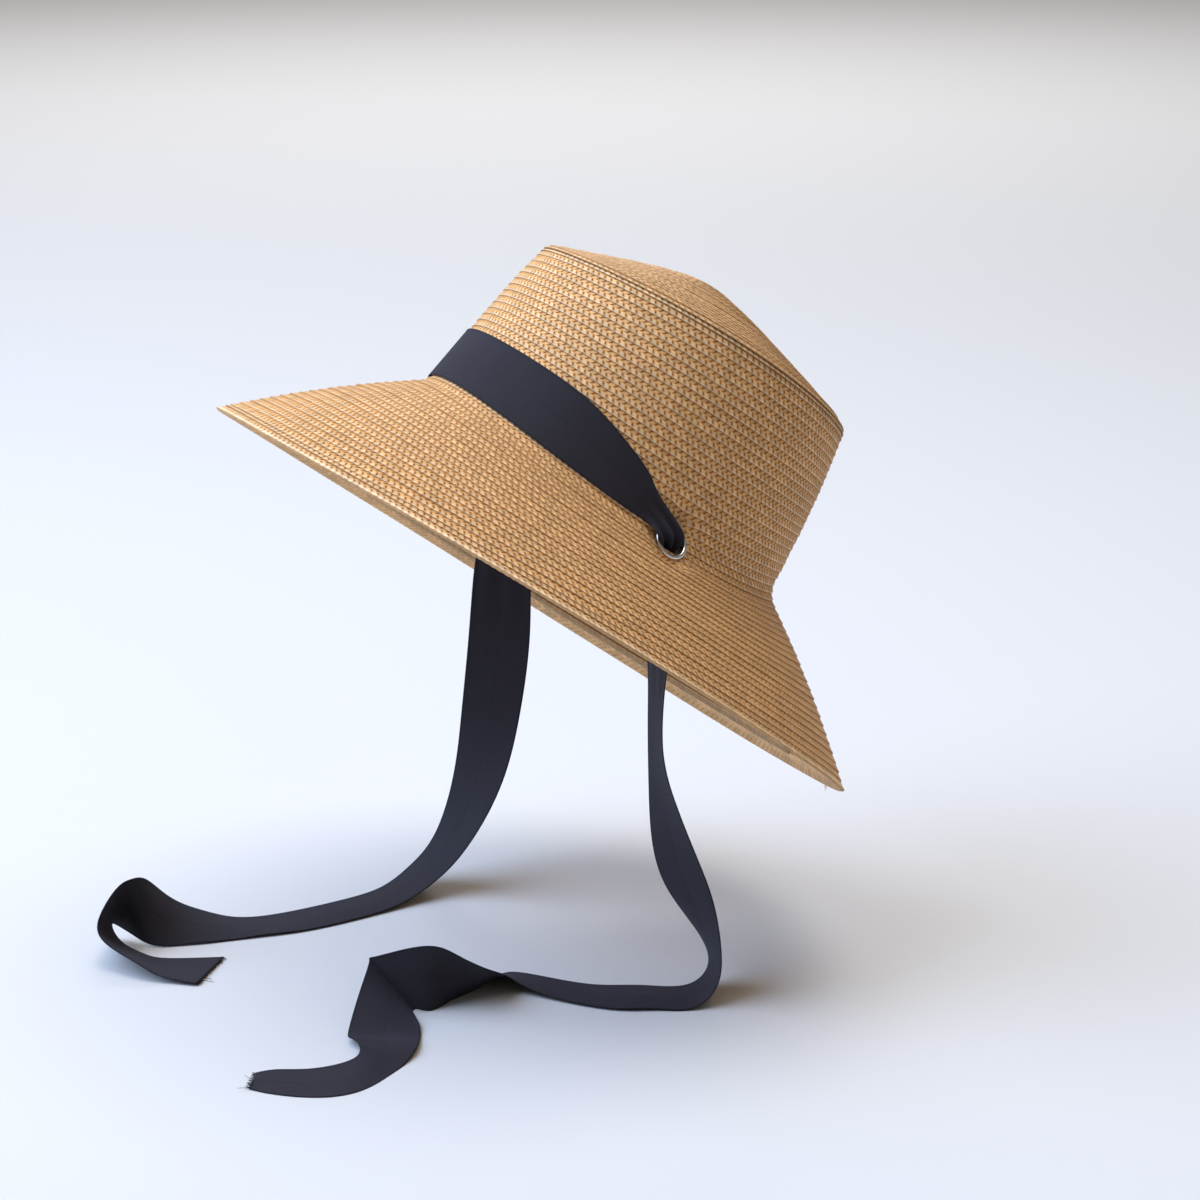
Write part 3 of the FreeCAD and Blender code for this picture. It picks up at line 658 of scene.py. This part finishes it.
def strip(name, node, stations, material, pleats, lean=0.0, soft=1.0):
    """A ribbon through stations of (centre, direction across, width), in the row's frame.

    pleats is a list of (place along in mm from the first end, depth of its folds), lean the side
    to which the folds stand, and soft how much the cloth waves.
    """
    left = np.array([c - a * w / 2 for c, a, w in stations])
    right = np.array([c + a * w / 2 for c, a, w in stations])
    fine = np.linspace(0, len(stations) - 1, 1200)
    middle = spline((left + right) / 2, fine)
    walked = np.concatenate([[0], np.cumsum(np.linalg.norm(np.diff(middle, axis=0), axis=1))])
    count = int(walked[-1] / 1.3)
    along = np.linspace(0, walked[-1], count)
    places = np.interp(along, walked, fine)
    left, right = spline(left, places), spline(right, places)
    forward = np.gradient((left + right) / 2, axis=0)
    across = right - left
    width = np.linalg.norm(across, axis=1)
    normal = np.cross(across, forward)
    normal /= np.linalg.norm(normal, axis=1, keepdims=True)
    steps = 24
    share = np.concatenate([[0, 0.012], np.linspace(0.04, 0.96, steps), [0.988, 1.0]])
    half = np.full(len(share), RIBBON_THICK / 2)
    half[0] = half[-1] = 0.05
    half[1] = half[-2] = RIBBON_THICK * 0.62
    depth = np.interp(along, [p for p, _ in pleats], [d for _, d in pleats])
    folds = np.sin(share[None, :] * 2 * math.pi * 2.5 + 0.6)
    wave = 0.35 * np.sin(along[:, None] * 0.055 + share[None, :] * 2.2 + len(name))
    wave = wave + 0.25 * np.sin(along[:, None] * 0.021 - share[None, :] * 3.0 + 1)
    calm = soft * np.clip(along / 30, 0, 1)[:, None]
    rise = depth[:, None] * folds + lean * np.minimum(depth, 1)[:, None] + wave * calm
    base = left[:, None, :] + across[:, None, :] * share[None, :, None] + normal[:, None, :] * rise[..., None]
    top = base + normal[:, None, :] * half[None, :, None]
    bottom = base - normal[:, None, :] * half[None, :, None]
    points = np.concatenate([top, bottom[:, -2:0:-1]], axis=1)
    ring = points.shape[1]
    weave = np.zeros((count, ring, 3))
    across_mm = np.minimum(share, 1 - share) * RIBBON_WIDTH
    weave[..., 0] = along[:, None]
    weave[..., 1] = np.concatenate([across_mm, across_mm[-2:0:-1]])[None, :]
    piece = new_piece(name, points.reshape(-1, 3) * MM, tube_faces(count, ring), material, node,
                      weave.reshape(-1, 3))
    return piece, walked[-1]


def frayed_end(name, node, station, ahead, material):
    """Loose threads that stand out of a cut end of the ribbon, mostly along it."""
    centre, side, width = station
    up = np.cross(side, ahead)
    points, faces, weave = [], [], []
    for i in range(46):
        start = centre + side * width * rng.uniform(-0.5, 0.5) - ahead * 1.2
        long, drift, lift = rng.uniform(1.6, 3.2), rng.uniform(-0.7, 0.7), rng.uniform(-0.05, 0.25)
        if i < 2:
            long, drift = rng.uniform(5, 8), rng.uniform(-0.9, 0.9)
        for j in range(7):
            t = j / 6
            spot = start + ahead * long * t + side * long * drift * t * t + up * long * lift * t * t
            thick = 0.2 * (1 - 0.6 * t)
            for k in range(4):
                a = math.pi / 2 * k
                points.append(spot + (side * math.cos(a) + up * math.sin(a)) * thick)
                weave.append((long * t + i, 3.0, 0.0))
        faces += [tuple(v + i * 28 for v in face) for face in tube_faces(7, 4)]
    return new_piece(name, np.array(points) * MM, faces, material, node, np.array(weave))


def across(swing, lean):
    a, b = math.radians(swing), math.radians(lean)
    return np.array([math.cos(a) * math.cos(b), math.sin(a) * math.cos(b), math.sin(b)])


def band_station(turn, low, high):
    """Ribbon on the crown at an angle from the back, from low to high above where the wall meets the brim."""
    spots = []
    for height in (low, high):
        run = SEAM - height / CROWN_HEIGHT * WALL_RUN
        place, normal = surface(np.array([math.radians(turn)]), np.array([run]))
        spots.append(TIPPED @ (place[0] + normal[0] * (RIBBON_GAP + RIBBON_THICK / 2)))
    step = spots[1] - spots[0]
    long = np.linalg.norm(step)
    return (spots[0] + spots[1]) / 2, step / long, long


def eyelet_station(side, depth, width, turn, ahead=0.0, above=0.0):
    """Ribbon at an eyelet, gathered to a width. A turn of 0 lies front to back, 90 stands up.

    depth is how far inside the flange it is, ahead and above how far from the eyelet's middle.
    """
    pitch, bank = math.radians(EYELET_PITCH), math.radians(turn)
    upward = np.array([-side * math.sin(pitch), 0, math.cos(pitch)])
    seat, axis = eyelet_axes(side)
    spot = seat - axis * depth + upward * above - np.array([0, ahead, 0])
    return TIPPED @ spot, TIPPED @ (upward * math.sin(bank) + [0, math.cos(bank), 0]), width


# Rows are the angle from the back, then both edges above the seam as shares of the ribbon's width.
GATHER = [(99, 0.02, 0.45), (105, 0.02, 0.62), (114, 0.02, 0.78), (127, 0.02, 0.94)]
MIDDLE = range(142, 225, 19)
# Rows are the arguments of eyelet_station: depth, width, turn, ahead and above.
BAND_END = [
    (6.0, 11.0, 5, 0, -0.5), (3.2, 12.0, 12, -0.6, 0.2),
    (0.4, 13.6, 30, 0.3, -0.2), (-1.9, 18.0, 33, 4.4, 2.0),
]
# Rows are x, y, height above the table, swing, lean and share of the ribbon's width.
TIE_RIGHT = [
    (-84, -6, 206, 80, 0, 0.5), (-85, -11, 186, 70, 0, 0.75), (-83, -15, 168, 62, 0, 0.88),
    (-83, -17, 133, 58, 0, 0.97), (-83, -22, 93, 48, 0, 0.97), (-83, -30, 57, 24, 0, 1),
    (-86, -44, 25, 6, 0, 1), (-86, -60, 9, 0, 0, 1), (-79, -80, 2, -8, 0, 1),
    (-71, -104, 1, -18, 0, 1), (-66, -132, 1, -16, 0, 0.97), (-67, -158, 1, 0, 0, 0.95),
    (-69, -176, 3, 4, -10, 1), (-70, -190, 6, -2, -19, 1), (-70, -202, 10, -6, -36, 1),
    (-66, -214, 17, -5, -70, 1), (-67, -222, 20, 160, -78, 1), (-71, -228, 20, 165, -56, 1),
    (-68, -234, 17, 155, -34, 1), (-62, -237, 12, 148, -22, 1), (-50, -235, 8, 150, -18, 1),
    (-35, -228, 5, 158, -12, 1), (-26, -219, 2, 158, -5, 1), (-15, -199, 1, 142, 0, 1.2),
]
TIE_LEFT = [
    (84, -6, 206, 70, 0, 0.5), (85, -8, 186, 30, 0, 0.75), (87, -8, 163, -6, 0, 0.95),
    (89, -10, 126, -14, 0, 1), (91, -7, 96, -2, 0, 1), (94, -2, 70, 14, 0, 1),
    (99, 4, 47, 16, 0, 1), (107, 10, 26, -6, 0, 1), (112, 10, 10, -20, 0, 1),
    (113, -3, 1, -22, 0, 1), (105, -22, 1, -16, 0, 1), (94, -43, 1, -10, 0, 1),
    (68, -64, 2, -15, 4, 0.95), (60, -76, 5, -16, 18, 0.96), (72, -93, 10, -10, 36, 0.98),
    (76, -108, 14, -8, 60, 0.98), (76, -121, 16, -115, 84, 0.98),
    (68, -134, 13, -136, 48, 0.97), (68, -137, 12, -140, 43, 0.97),
    (81, -143, 8, -139, 20, 0.98), (98, -152, 2, -114, 3, 1.01), (111, -157, 3, -116, 4, 0.95),
    (119, -160, 3, -133, 5, 0.84), (128, -167, 3, -158, 14, 0.8), (140, -180, 2, 168, 7, 0.9),
    (140, -200, 1, 167, 1, 0.96), (132, -216, 1, 159, 1, 0.8), (126, -226, 1, 150, 0, 0.5),
]


def make_ribbon():
    material = cloth_material("ribbon_twill", (0.0082, 0.0070, 0.0098), (0.030, 0.0255, 0.0345), 0.55)
    stations = [eyelet_station(1, *end) for end in BAND_END]
    stations += [band_station(t, a * RIBBON_WIDTH, b * RIBBON_WIDTH) for t, a, b in GATHER]
    stations += [band_station(t, 0.02 * RIBBON_WIDTH, RIBBON_WIDTH) for t in MIDDLE]
    stations += [band_station(360 - t, a * RIBBON_WIDTH, b * RIBBON_WIDTH) for t, a, b in reversed(GATHER)]
    stations += [eyelet_station(-1, *end) for end in reversed(BAND_END)]
    end = 330
    gather = [(0, 2.4), (6, 1.9), (11, 1.0), (18, 0.5), (28, 0.15), (40, 0.0)]
    pleats = gather + [(end - place, depth) for place, depth in reversed(gather)]
    band, run = strip("ribbon_front_band", "ribbon_band", stations, material, pleats, lean=1.0, soft=0.0)
    for side, name, rows_of_tie in ((1, "left", TIE_LEFT), (-1, "right", TIE_RIGHT)):
        stations = [eyelet_station(side, 2.6, 9.0, 60), eyelet_station(side, 8.0, 10.0, 30)]
        for x, y, above, swing, lean, share in rows_of_tie:
            stations.append((np.array([x, y, above - TABLE_DROP]), across(swing, lean), share * RIBBON_WIDTH))
        pleats = [(0, 2.2), (14, 2.0), (55, 0.4), (90, 0.0), (600, 0.0)]
        tie, run = strip("ribbon_long_tie_" + name, "ribbon_tie_" + name, stations, material, pleats)
        (before, _, _), (last, side_way, wide) = stations[-2:]
        ahead = (last - before) / np.linalg.norm(last - before)
        ahead = ahead - side_way * ahead.dot(side_way)
        frayed_end("ribbon_end_threads_" + name, "ribbon_tie_" + name, (last, side_way, wide),
                   ahead / np.linalg.norm(ahead), material)


# ---------------------------------------------------------------- the whole scene
make_camera()
make_ribbon()
make_straw()
make_sweatband()
make_eyelets()
make_studio()
